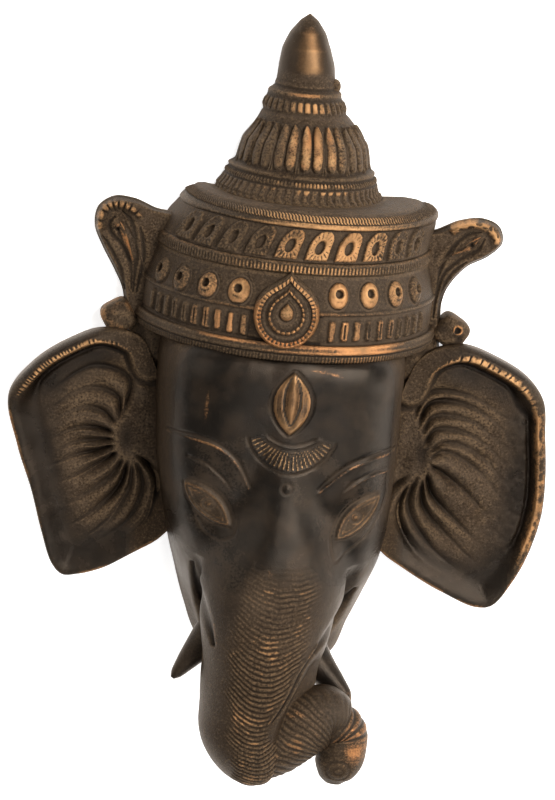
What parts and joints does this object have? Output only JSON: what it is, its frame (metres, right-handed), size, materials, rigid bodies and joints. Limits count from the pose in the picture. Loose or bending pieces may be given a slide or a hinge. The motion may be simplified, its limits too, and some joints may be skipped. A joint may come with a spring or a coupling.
{
  "type": "cast brass mask",
  "caption": "Hollow cast brass wall mask of an elephant's head with a tiered crown, spread ears and a curled trunk; it lies on its back rim.",
  "frame": {"origin": "centre of the bounding box, on the plane that the rim of the hollow back lies on", "axes": "+X to the viewer's right, +Y from the trunk towards the finial, +Z out of the face, away from the wall"},
  "size_m": [0.2202, 0.2982, 0.0831],
  "materials": {
    "brass": "dark brown patina, worn to bare metal on the raised carving"
  },
  "bodies": {
    "root": {"mask": "brass"}
  },
  "joints": []
}
